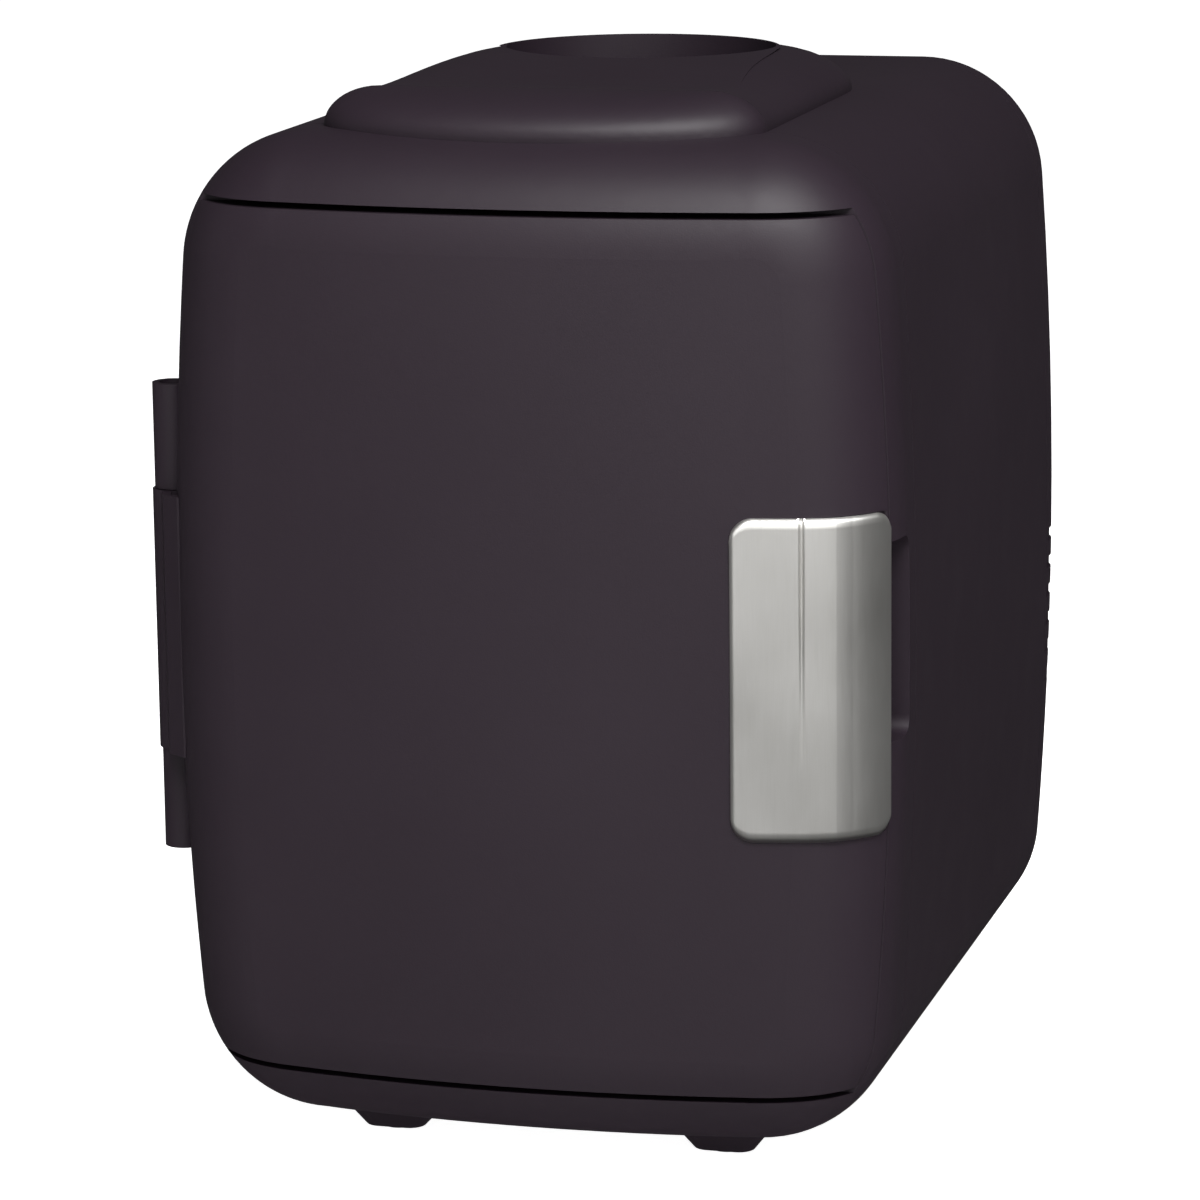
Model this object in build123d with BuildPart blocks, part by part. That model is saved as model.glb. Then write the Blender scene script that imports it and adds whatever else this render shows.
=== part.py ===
"""A 4-litre thermoelectric mini fridge, built piece by piece.

Millimetres. X runs to the right seen from the door, Y to the back, Z up. The origin
lies on the floor, under the middle of the casing's width and depth.
"""

import os
from math import cos, radians, sin, sqrt

from build123d import *

os.makedirs("parts", exist_ok=True)

# Casing
width = 182.6
depth = 234.0
height = 245.0
floor_gap = 9.0
wall = 2.4
side_bow = 5.8
front_bow = 12.1
front_lean = 5.0
top_corner = 33.0
bottom_corner = 33.0
front_round = 27.0

# Where the casing divides, counted from the front or the back
door_depth = 23.0
frame_depth = 20.0
cover_depth = 15.0
lip_height = 15.0
door_gap = 1.6
seam = 0.4
side_gap = 0.8
face_step = 3.4

# Cold box
side_insulation = 23.5
top_insulation = 28.0
bottom_insulation = 29.0
liner_wall = 1.8
liner_corner = 8.0
flange = 2.7

# Carrying pod and hand hole on the top
pod_half = 55.0
crescent_depth = 22.0
crest_half = 41.0
crest_rise = 9.5
dome_flat = 28.0
dome_rise = 11.0
dome_level = 88.0
hand_length = 70.0
hand_width = 60.0
hand_depth = 27.0
hand_level = 92.0

# Hinge
hinge_back = 10.0
knuckle_radius = 5.0
door_knuckle_radius = 5.6
knuckle_levels = (74.0, 99.4, 164.6, 191.0)
pin_radius = 2.0
running_fit = 0.06
knuckle_gap = 0.5

# Handle plate and finger scoop
plate_height = 78.0
plate_level = 129.0
plate_reach = 36.0
plate_proud = 0.9
plate_sunk = 0.7
plate_corner = 5.5
scoop_height = 48.5
scoop_level = 135.8
scoop_depth = 12.0
scoop_width = 8.0

# Door inside
plug_depth = 9.0
plug_gap = 6.0
seal_width = 6.5
seal_offset = 2.0
seal_gap = 0.3
bin_width = 104.0
bin_depth = 28.0
bin_height = 40.0
bin_level = 58.0
bin_wall = 1.6
bin_lift = 10.0

# Shelf
shelf_thickness = 3.0
shelf_level = 92.0
shelf_slide = 5.0
shelf_gap = 0.3
rail_width = 4.0

# Cooling unit
unit_level = 109.0
module_size = 40.0
module_thickness = 3.8
spacer_length = 20.0
cold_size = 70.0
cold_base = 4.0
cold_fins = 12.0
hot_width = 100.0
hot_height = 90.0
hot_base = 5.0
hot_fins = 21.0
inner_fan_size = 60.0
inner_fan_depth = 10.0
rear_fan_size = 80.0
rear_fan_depth = 20.0
fan_cover_size = 88.0
fan_clearance = 10.8
clamp_span = 56.0

# Electrics
socket_level = 41.0
socket_pitch = 45.0
board_thickness = 1.6
rocker_width = 14.0
rocker_height = 20.0
rocker_radius = 11.0

# Feet
foot_pitch = 85.4
foot_top = 28.0
foot_bottom = 15.4
foot_inset = 48.0
pad_height = 1.5
peg_radius = 2.5
peg_offset = 3.5

# Worked out from the values above
half = width / 2
base_z = floor_gap
top_z = floor_gap + height
mid_z = (base_z + top_z) / 2
front_y = -depth / 2
rear_y = depth / 2
door_y = front_y + door_depth
frame_y = door_y + frame_depth
cover_y = rear_y - cover_depth
face_y = door_y + side_gap + face_step
high_lip = top_z - lip_height
low_lip = base_z + lip_height
door_high = high_lip - door_gap
door_low = low_lip + door_gap
front_radius = (half**2 + front_bow**2) / (2 * front_bow)

box_half = half - side_insulation
box_top = top_z - top_insulation
box_bottom = base_z + bottom_insulation
box_front = face_y + wall
machine_depth = (
    spacer_length + module_thickness + hot_base + hot_fins + rear_fan_depth + fan_clearance + wall
)
box_back = rear_y - machine_depth
plug_y = door_y + plug_depth

hinge_x = -(half + 1.5)
hinge_y = door_y + hinge_back
unit_z = box_bottom + unit_level
shell_y = frame_y + seam
pod_foot = top_z - 12.0
far = 2 * max(width, depth, height)


def block(x, y, z, mode=Mode.ADD):
    """Box between a pair of limits in X, in Y and in Z."""
    with Locations(((x[0] + x[1]) / 2, (y[0] + y[1]) / 2, (z[0] + z[1]) / 2)):
        Box(x[1] - x[0], y[1] - y[0], z[1] - z[0], mode=mode)


def slab(x_half, z, y, corner, mode=Mode.ADD):
    """Prism along Y with a rounded rectangle as its section, centred across the width."""
    with BuildSketch(Plane.XZ.offset(-y[1])) as section:
        with Locations((0, (z[0] + z[1]) / 2)):
            RectangleRounded(2 * x_half, z[1] - z[0], corner)
    extrude(section.sketch, amount=y[1] - y[0], mode=mode)


def rod(x, z, y, radius, mode=Mode.ADD):
    """Round bar or bore along Y."""
    with BuildSketch(Plane.XZ.offset(-y[1])) as section:
        with Locations((x, z)):
            Circle(radius)
    extrude(section.sketch, amount=y[1] - y[0], mode=mode)


def post(x, y, z, radius, mode=Mode.ADD):
    """Round bar or bore along Z."""
    with BuildSketch(Plane.XY.offset(z[0])) as section:
        with Locations((x, y)):
            Circle(radius)
    extrude(section.sketch, amount=z[1] - z[0], mode=mode)


def outline(inset, y):
    """The casing's section at a given Y, moved inwards by inset."""
    edge = half - inset
    low = base_z + inset
    high = top_z - inset
    with BuildSketch(Plane.XZ.offset(-y)) as section:
        with BuildLine():
            right = ThreePointArc((edge - side_bow, low), (edge, mid_z), (edge - side_bow, high))
            left = ThreePointArc((side_bow - edge, high), (-edge, mid_z), (side_bow - edge, low))
            Line(right @ 1, left @ 0)
            Line(left @ 1, right @ 0)
        make_face()
        fillet(vertices().group_by(Axis.Y)[-1], radius=top_corner - inset)
        fillet(vertices().group_by(Axis.Y)[0], radius=bottom_corner - inset)
    return section.sketch


def band(outer_inset, inner_inset, y):
    """Ring that follows the casing's section between two insets."""
    extrude(outline(outer_inset, y[1]), amount=y[1] - y[0])
    extrude(outline(inner_inset, y[1]), amount=y[1] - y[0], mode=Mode.SUBTRACT)


def hull(inset):
    """Solid inside the casing's outer surface moved inwards by inset, flat at the back."""
    radius = front_radius - inset
    axis_y = front_y + inset + radius
    bulge = axis_y + radius
    reach = height / 2 + 20
    with BuildPart() as solid:
        extrude(outline(inset, cover_y), amount=cover_y - front_y + 1)
        with BuildSketch(Plane.YZ):
            with BuildLine():
                bow = ThreePointArc(
                    (bulge - front_lean, mid_z - reach),
                    (bulge, mid_z),
                    (bulge - front_lean, mid_z + reach),
                )
                Polyline(bow @ 1, (axis_y, mid_z + reach), (axis_y, mid_z - reach), bow @ 0)
            make_face()
        revolve(axis=Axis((0, axis_y, 0), (0, 0, 1)), mode=Mode.INTERSECT)
        fillet(faces().sort_by(Axis.Y)[0].edges(), radius=front_round - inset)
    return solid.part


outer = hull(0)
inner = hull(wall)


def half_ellipse(z, x_reach, y_reach):
    """Level sketch of the front half of an ellipse centred at the seam."""
    with BuildSketch(Plane.XY.offset(z)) as section:
        with BuildLine():
            bow = EllipticalCenterArc((0, frame_y), x_reach, y_reach, start_angle=180, arc_size=180)
            Line(bow @ 1, bow @ 0)
        make_face()
    return section.sketch


def crescent(inset):
    """Low convex bump in front of the pod: half ellipses stacked up to the crest at the seam."""
    sections = [half_ellipse(top_z - 3 * wall, pod_half - inset, crescent_depth - inset)]
    for step in range(6):
        turn = radians(17.4 * step)
        side = crest_half + (pod_half - crest_half) * cos(turn) - inset
        level = top_z - inset + crest_rise * sin(turn)
        sections.append(half_ellipse(level, side, (crescent_depth - inset) * cos(turn)))
    return loft(sections)


def shoulder(flat, rise, inset):
    """Points of the pod's elliptic right shoulder, from its foot up to the flat crown."""
    turns = [radians(18 * step) for step in range(6)]
    reach = pod_half - flat
    return [(flat - inset + reach * cos(turn), top_z - inset + rise * sin(turn)) for turn in turns]


def pod_section(y, flat, rise, inset):
    """The pod's section at a given Y: a flat crown with a shoulder on each side."""
    arc = shoulder(flat, rise, inset)
    with BuildSketch(Plane.XZ.offset(-y)) as section:
        with BuildLine():
            right = Spline(*arc, tangents=((0, 1), (-1, 0)))
            left = Spline(*[(-x, z) for x, z in reversed(arc)], tangents=((-1, 0), (0, -1)))
            Line(right @ 1, left @ 0)
            Polyline(left @ 1, (-arc[0][0], pod_foot), (arc[0][0], pod_foot), right @ 0)
        make_face()
    return section.sketch


def pod(inset):
    """Raised carrying pod behind the seam: dished in front, a round dome behind."""
    middle = frame_y + dome_level
    stations = (
        (shell_y, crest_half, crest_rise),
        (shell_y + 14, crest_half - 1.5, crest_rise - 0.9),
        (shell_y + 34, crest_half - 6, crest_rise - 0.2),
        (middle - 26, dome_flat + 3, dome_rise - 0.3),
        (middle, dome_flat, dome_rise),
    )
    front = loft([pod_section(y, flat, rise, inset) for y, flat, rise in stations])
    arc = shoulder(dome_flat, dome_rise, inset)
    with BuildSketch(Plane.XZ.offset(-middle)) as section:
        with BuildLine():
            right = Spline(*arc, tangents=((0, 1), (-1, 0)))
            Polyline(right @ 1, (0, arc[-1][1]), (0, pod_foot), (arc[0][0], pod_foot), right @ 0)
        make_face()
    return front + revolve(section.sketch, axis=Axis((0, middle, 0), (0, 0, 1)), revolution_arc=180)


def finish(piece, name):
    """Label a finished piece and write it."""
    piece.part.label = name
    export_step(piece.part, f"parts/{name}.step")


# Front frame: a ring round the cold box, with a lip over and a lip under the door.
with BuildPart() as frame_room:
    add(inner)
    block((-far, far), (-far, box_front), (low_lip - wall, high_lip + wall), Mode.SUBTRACT)
    add(crescent(wall))

knuckle_low, door_knuckle_low, door_knuckle_high, knuckle_high = knuckle_levels
pocket = (door_knuckle_low - knuckle_gap / 2, door_knuckle_high + knuckle_gap / 2)
pocket_radius = door_knuckle_radius + 0.6
scoop_x = half - scoop_width
scoop_z = (scoop_level - scoop_height / 2, scoop_level + scoop_height / 2)
scoop_end = door_y + side_gap + scoop_depth
scoop_box = (
    (scoop_x - wall, half - wall),
    (face_y, scoop_end + wall),
    (scoop_z[0] - wall, scoop_z[1] + wall),
)
pocket_box = (
    (wall - half, hinge_x + pocket_radius + wall),
    (hinge_y - pocket_radius - wall, hinge_y + pocket_radius + wall),
    (pocket[0] - wall, pocket[1] + wall),
)

with BuildPart() as front_frame:
    add(outer)
    add(crescent(0))
    block((-far, far), (frame_y, far), (0, far), Mode.SUBTRACT)
    block((-far, far), (-far, door_y + side_gap), (low_lip, high_lip), Mode.SUBTRACT)
    add(frame_room.part, mode=Mode.SUBTRACT)
    slab(half - 9, (low_lip + 3, high_lip - 3), (door_y, face_y), 22, Mode.SUBTRACT)
    slab(box_half, (box_bottom, box_top), (door_y, box_front + 1), liner_corner, Mode.SUBTRACT)
    # Tongue that the rear shell slides over
    band(wall, wall + 1.8, (frame_y - 6, frame_y))
    band(wall + 0.1, wall + 1.8, (frame_y, frame_y + 5))
    block(*scoop_box)
    block(*pocket_box)
    with BuildSketch(Plane.YZ.offset(scoop_x)):
        with Locations((scoop_end - scoop_depth, scoop_level)):
            RectangleRounded(2 * scoop_depth, scoop_height, 4)
    extrude(amount=2 * scoop_width, mode=Mode.SUBTRACT)
    post(hinge_x, hinge_y, (knuckle_low, pocket[0]), knuckle_radius)
    post(hinge_x, hinge_y, (pocket[1], knuckle_high), knuckle_radius)
    post(hinge_x, hinge_y, pocket, pocket_radius, Mode.SUBTRACT)
    post(hinge_x, hinge_y, (knuckle_low + 3, knuckle_high), pin_radius, Mode.SUBTRACT)
    post(hinge_x, hinge_y, (knuckle_high - 6, knuckle_high), knuckle_radius - 1.6, Mode.SUBTRACT)
finish(front_frame, "front_frame")

with BuildPart() as hinge_pin:
    post(hinge_x, hinge_y, (knuckle_low + 3, knuckle_high - 8), pin_radius)
    chamfer(edges().group_by(Axis.Z)[-1], length=0.6)
finish(hinge_pin, "hinge_pin")

# Steel band behind the frame's face, which the magnets of the door seal hold to.
keeper_near = box_half + liner_wall + flange + 0.4
with BuildPart() as keeper_frame:
    for reach, mode in ((6.0, Mode.ADD), (0.0, Mode.SUBTRACT)):
        limits = (box_bottom - keeper_near + box_half - reach, box_top + keeper_near - box_half + reach)
        slab(keeper_near + reach, limits, (box_front, box_front + 1), liner_corner + 4, mode)
finish(keeper_frame, "keeper_frame")

# Rear shell: casing, pod, hand-hole tub, bosses for the back cover.
tub_y = frame_y + hand_level
tub_floor = top_z + dome_rise - hand_depth
boss_x = half - 13.5
boss_radius = 5.0
boss_points = [(x, z) for x in (-boss_x, boss_x) for z in (base_z + 55, top_z - 52)]
foot_points = [
    (x, y)
    for x in (-foot_pitch / 2, foot_pitch / 2)
    for y in (front_y + foot_inset, rear_y - foot_inset)
]

with BuildPart() as shell_room:
    add(inner)
    add(pod(wall))
    with BuildSketch(Plane.XY.offset(tub_floor - wall)):
        with Locations((0, tub_y)):
            Ellipse(hand_length / 2 + wall, hand_width / 2 + wall)
    extrude(amount=hand_depth + 10, mode=Mode.SUBTRACT)

with BuildPart() as hand_hole:
    with BuildSketch(Plane.XY.offset(tub_floor)):
        with Locations((0, tub_y)):
            Ellipse(hand_length / 2, hand_width / 2)
    extrude(amount=hand_depth + 5)
    fillet(edges().group_by(Axis.Z)[0], radius=5)

with BuildPart() as rear_shell:
    add(outer)
    add(pod(0))
    block((-far, far), (-far, shell_y), (0, far), Mode.SUBTRACT)
    add(shell_room.part, mode=Mode.SUBTRACT)
    add(hand_hole.part, mode=Mode.SUBTRACT)
    for x, z in boss_points:
        side = 1 if x > 0 else -1
        rod(x, z, (cover_y - 24, cover_y), boss_radius)
        rib = sorted((x, side * (half - wall)))
        block(rib, (cover_y - 24, cover_y - 2), (z - 1.2, z + 1.2))
        rod(x, z, (cover_y - 18, cover_y), 1.5, Mode.SUBTRACT)
    for x, y in foot_points:
        post(x, y + peg_offset, (base_z, base_z + wall), peg_radius, Mode.SUBTRACT)
    # Stand-offs for the power supply board
    for x in (-50, 50):
        for y in (box_back + 28, box_back + 56):
            post(x, y, (base_z + wall, base_z + wall + 6), 3.0)
            post(x, y, (base_z + wall + 1, base_z + wall + 6), 1.0, Mode.SUBTRACT)
finish(rear_shell, "rear_shell")

# Cold box liner with shelf rails and bosses for the fan cover.
shelf_z = box_bottom + shelf_level
shelf_front = plug_y + shelf_slide + 2.0
unit_front = box_back - cold_base - cold_fins - inner_fan_depth - 4.0
shelf_back = unit_front - 3.0
cover_pitch = fan_cover_size - 12
clamp_points = [(x, unit_z + z) for x in (-clamp_span / 2, clamp_span / 2)
                for z in (-clamp_span / 2, clamp_span / 2)]
fan_cover_points = [(x, unit_z + z) for x in (-cover_pitch / 2, cover_pitch / 2)
                    for z in (-cover_pitch / 2, cover_pitch / 2)]
foam_back = box_back + spacer_length

with BuildPart() as inner_liner:
    skin = liner_wall
    slab(box_half + skin, (box_bottom - skin, box_top + skin), (box_front, box_back + skin),
         liner_corner + skin)
    edge = skin + flange
    slab(box_half + edge, (box_bottom - edge, box_top + edge), (box_front, box_front + skin),
         liner_corner + edge)
    for x, z in fan_cover_points:
        rod(x, z, (box_back, box_back + 11), 4.0)
    slab(box_half, (box_bottom, box_top), (box_front - 1, box_back), liner_corner, Mode.SUBTRACT)
    for side in (-1, 1):
        rail_x = sorted((side * (box_half - rail_width), side * (box_half + 0.5)))
        under = shelf_z - shelf_gap
        over = shelf_z + shelf_thickness + shelf_gap
        block(rail_x, (shelf_front - 4, shelf_back), (under - 3, under))
        block(rail_x, (shelf_front + 8, shelf_back), (over, over + 2.4))
    slab(module_size / 2 + 0.5, (unit_z - module_size / 2 - 0.5, unit_z + module_size / 2 + 0.5),
         (box_back - 1, box_back + 3), 1.0, Mode.SUBTRACT)
    for x, z in clamp_points:
        rod(x, z, (box_back - 1, box_back + 3), 1.9, Mode.SUBTRACT)
    for x, z in fan_cover_points:
        rod(x, z, (box_back - 1, box_back + 9), 1.2, Mode.SUBTRACT)
finish(inner_liner, "inner_liner")

# Foam between the liner and the casing, up to the machine space.
with BuildPart() as body_foam:
    foam_front = box_front + skin + 0.4
    extrude(outline(wall + 2.0, foam_back), amount=foam_back - foam_front)
    slab(box_half + skin, (box_bottom - skin, box_top + skin), (foam_front - 1, box_back + skin),
         liner_corner + skin, Mode.SUBTRACT)
    with BuildSketch(Plane.XY.offset(tub_floor - wall)):
        with Locations((0, tub_y)):
            Ellipse(hand_length / 2 + wall, hand_width / 2 + wall)
    extrude(amount=hand_depth, mode=Mode.SUBTRACT)
    block(*scoop_box, Mode.SUBTRACT)
    block(*pocket_box, Mode.SUBTRACT)
    post(hinge_x, hinge_y, (knuckle_low, knuckle_high), knuckle_radius + 0.2, Mode.SUBTRACT)
    slab(module_size / 2 + 0.5, (unit_z - module_size / 2 - 0.5, unit_z + module_size / 2 + 0.5),
         (box_back, foam_back + 1), 1.0, Mode.SUBTRACT)
    for x, z in clamp_points:
        rod(x, z, (box_back, foam_back + 1), 2.2, Mode.SUBTRACT)
    for x, z in fan_cover_points:
        rod(x, z, (box_back, box_back + 11), 4.0, Mode.SUBTRACT)
finish(body_foam, "body_foam")

# Shelf: a flat grid that slides on the liner's rails.
with BuildPart() as shelf:
    shelf_half = box_half - 0.8
    block((-shelf_half, shelf_half), (shelf_front, shelf_back), (shelf_z, shelf_z + shelf_thickness))
    fillet(edges().filter_by(Axis.Z), radius=3)
    bays = 9
    bay = (2 * shelf_half - 16) / bays
    bay_length = shelf_back - shelf_front - 20
    with BuildSketch(Plane.XY.offset(shelf_z)):
        with Locations((0, (shelf_front + shelf_back) / 2)):
            with GridLocations(bay, 0, bays, 1):
                RectangleRounded(bay - 4, bay_length, (bay - 4) / 2 - 0.2)
    extrude(amount=shelf_thickness, mode=Mode.SUBTRACT)
finish(shelf, "shelf")

# Cold side: finned plate in the cold box, spacer through the foam, module, gasket.
fin_end = box_back - cold_base - cold_fins
inner_screw_span = 50.0
inner_screws = [(x, unit_z + z) for x in (-inner_screw_span / 2, inner_screw_span / 2)
                for z in (-inner_screw_span / 2, inner_screw_span / 2)]
cold_z = (unit_z - cold_size / 2, unit_z + cold_size / 2)

with BuildPart() as cold_sink:
    slab(cold_size / 2, cold_z, (box_back - cold_base, box_back), 2)
    with BuildSketch(Plane.XZ.offset(-(box_back - cold_base))):
        with Locations((0, unit_z)):
            with GridLocations(5.2, 0, 13, 1):
                Rectangle(1.4, cold_size - 2)
    extrude(amount=cold_fins)
    for x, z in inner_screws:
        rod(x, z, (fin_end, box_back - cold_base), 3.4)
        rod(x, z, (fin_end - 1, box_back - 1), 1.2, Mode.SUBTRACT)
    for x, z in clamp_points:
        rod(x, z, (fin_end - 1, box_back - cold_base), 2.6, Mode.SUBTRACT)
        rod(x, z, (fin_end - 1, box_back), 1.5, Mode.SUBTRACT)
finish(cold_sink, "cold_sink")

module_z = (unit_z - module_size / 2, unit_z + module_size / 2)
with BuildPart() as spacer_block:
    slab(module_size / 2, module_z, (box_back, foam_back), 1)
finish(spacer_block, "spacer_block")

module_end = foam_back + module_thickness
with BuildPart() as peltier_module:
    block((-module_size / 2, module_size / 2), (foam_back, foam_back + 0.8), module_z)
    block((-module_size / 2, module_size / 2), (module_end - 0.8, module_end), module_z)
    leg = module_size / 2 - 1
    block((-leg, leg), (foam_back + 0.8, module_end - 0.8), (unit_z - leg, unit_z + leg))
finish(peltier_module, "peltier_module")

gasket_half = clamp_span / 2 + 6
with BuildPart() as module_gasket:
    slab(gasket_half, (unit_z - gasket_half, unit_z + gasket_half), (foam_back, module_end), 4)
    hole = module_size / 2 + 0.4
    slab(hole, (unit_z - hole, unit_z + hole), (foam_back - 1, module_end + 1), 1, Mode.SUBTRACT)
    for x, z in clamp_points:
        rod(x, z, (foam_back - 1, module_end + 1), 2.2, Mode.SUBTRACT)
finish(module_gasket, "module_gasket")

# Hot side: finned sink behind the module, clamped to the cold plate through the foam.
hot_face = module_end + hot_base
hot_end = hot_face + hot_fins
rear_screw_span = 71.5
rear_screws = [(x, unit_z + z) for x in (-rear_screw_span / 2, rear_screw_span / 2)
               for z in (-rear_screw_span / 2, rear_screw_span / 2)]

with BuildPart() as hot_sink:
    slab(hot_width / 2, (unit_z - hot_height / 2, unit_z + hot_height / 2), (module_end, hot_face), 2)
    with BuildSketch(Plane.XZ.offset(-hot_face)):
        with Locations((0, unit_z)):
            with GridLocations(4.5, 0, 22, 1):
                Rectangle(1.3, hot_height - 2)
    extrude(amount=-hot_fins)
    for x, z in rear_screws:
        rod(x, z, (hot_face, hot_end), 3.6)
        rod(x, z, (hot_end - 12, hot_end + 1), 1.5, Mode.SUBTRACT)
    for x, z in clamp_points:
        rod(x, z, (hot_face, hot_end + 1), 4.0, Mode.SUBTRACT)
        rod(x, z, (module_end - 1, hot_face), 1.8, Mode.SUBTRACT)
finish(hot_sink, "hot_sink")

with BuildPart() as clamp_screws:
    for x, z in clamp_points:
        rod(x, z, (box_back - cold_base, hot_face), 1.5)
        rod(x, z, (hot_face, hot_face + 2.4), 2.9)
        rod(x, z, (hot_face + 1.2, hot_face + 2.4), 1.2, Mode.SUBTRACT)
finish(clamp_screws, "clamp_screws")


def fan_frame(size, thickness, y, screw_span, bore, hub):
    """Square fan housing from y backwards, with its spokes and motor boss on the front face."""
    with BuildPart() as frame:
        slab(size / 2, (unit_z - size / 2, unit_z + size / 2), (y, y + thickness), 4)
        rod(0, unit_z, (y - 1, y + thickness + 1), bore, Mode.SUBTRACT)
        for turn in range(4):
            with BuildSketch(Plane.XZ.offset(-(y + 1.6))):
                with Locations((0, unit_z)):
                    Rectangle(2 * bore + 1, 2.2, rotation=45 + 90 * turn)
            extrude(amount=1.6)
        rod(0, unit_z, (y, y + 1.6), hub)
        rod(0, unit_z, (y, y + thickness * 0.6), 1.5)
        for x in (-screw_span / 2, screw_span / 2):
            for z in (-screw_span / 2, screw_span / 2):
                rod(x, unit_z + z, (y - 1, y + thickness + 1), 1.7, Mode.SUBTRACT)
    return frame


def impeller(thickness, y, tip, hub, blades):
    """Fan wheel: a hub cup on the motor shaft and its tilted blades."""
    with BuildPart(Plane(origin=(0, y, unit_z), x_dir=(1, 0, 0), z_dir=(0, 1, 0))) as wheel:
        with Locations((0, 0, thickness / 2)):
            with PolarLocations((tip + hub) / 2, blades):
                Box(tip - hub + 4, 0.78 * thickness, 1.4, rotation=(38, 0, 0))
        with Locations((0, 0, thickness / 2)):
            Cylinder(tip, thickness, mode=Mode.INTERSECT)
            Cylinder(hub, thickness)
        Cylinder(1.5 + running_fit, 2.2 * thickness, mode=Mode.SUBTRACT)
    return wheel


inner_fan_y = fin_end - inner_fan_depth
inner_hub = 10.0
inner_fan_frame = fan_frame(inner_fan_size, inner_fan_depth, inner_fan_y, inner_screw_span, 28, inner_hub)
finish(inner_fan_frame, "inner_fan_frame")
inner_impeller = impeller(inner_fan_depth - 2.6, inner_fan_y + 2.0, 27, inner_hub, 7)
finish(inner_impeller, "inner_impeller")

with BuildPart() as inner_fan_screws:
    for x, z in inner_screws:
        rod(x, z, (inner_fan_y, fin_end + 8), 1.2)
        rod(x, z, (inner_fan_y - 1.6, inner_fan_y), 2.4)
        rod(x, z, (inner_fan_y - 1.6, inner_fan_y - 0.8), 1.0, Mode.SUBTRACT)
finish(inner_fan_screws, "inner_fan_screws")

# Plastic cover over the cold sink and its fan, with a slotted front and side vents.
with BuildPart() as fan_cover:
    reach = fan_cover_size / 2
    room = reach - skin
    slab(reach, (unit_z - reach, unit_z + reach), (unit_front, box_back), 6)
    slab(room, (unit_z - room, unit_z + room), (unit_front + skin, box_back + 1), 5, Mode.SUBTRACT)
    for x, z in fan_cover_points:
        rod(x, z, (unit_front, box_back), 4.0)
    with BuildSketch(Plane.XZ.offset(-(unit_front + skin))):
        for row in range(-4, 5):
            with Locations((0, unit_z + 5.6 * row)):
                SlotOverall(2 * sqrt(27**2 - (5.6 * row) ** 2), 2.8)
    extrude(amount=skin, mode=Mode.SUBTRACT)
    for side in (-1, 1):
        vent_x = sorted((side * (room - 1), side * (reach + 1)))
        for row in range(-4, 5):
            level = unit_z + 6 * row
            block(vent_x, (box_back - 18, box_back - 6), (level - 1.5, level + 1.5), Mode.SUBTRACT)
    for x, z in fan_cover_points:
        rod(x, z, (unit_front - 1, box_back + 1), 1.4, Mode.SUBTRACT)
        rod(x, z, (unit_front - 1, unit_front + 20), 2.6, Mode.SUBTRACT)
finish(fan_cover, "fan_cover")

with BuildPart() as fan_cover_screws:
    for x, z in fan_cover_points:
        rod(x, z, (unit_front + 20, box_back + 8), 1.2)
        rod(x, z, (unit_front + 18, unit_front + 20), 2.4)
        rod(x, z, (unit_front + 18, unit_front + 19), 1.0, Mode.SUBTRACT)
finish(fan_cover_screws, "fan_cover_screws")

rear_hub = 15.0
rear_fan_frame = fan_frame(rear_fan_size, rear_fan_depth, hot_end, rear_screw_span, 38, rear_hub)
finish(rear_fan_frame, "rear_fan_frame")
rear_impeller = impeller(rear_fan_depth - 4, hot_end + 2.4, 37, rear_hub, 7)
finish(rear_impeller, "rear_impeller")

fan_end = hot_end + rear_fan_depth
with BuildPart() as rear_fan_screws:
    for x, z in rear_screws:
        rod(x, z, (hot_end - 10, fan_end), 1.5)
        rod(x, z, (fan_end, fan_end + 2.2), 2.9)
        rod(x, z, (fan_end + 1.2, fan_end + 2.2), 1.2, Mode.SUBTRACT)
finish(rear_fan_screws, "rear_fan_screws")

# Back cover: a shallow tray with the fan grille, corner vent ridges and the sockets.
cover_start = cover_y + seam
socket_z = base_z + socket_level
board_z = (socket_z + 14, socket_z + 52)
board_points = [(x, z) for x in (-46, 46) for z in (board_z[0] + 5, board_z[1] - 5)]
ridge_pitch = 7.9
ridge_count = 12
ridge_low = base_z + 28
screw_seat = cover_start + 5
inlet_size = (24.0, 17.0)
socket_radius = 8.0
bezel_size = (rocker_width + 5, rocker_height + 5)

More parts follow.
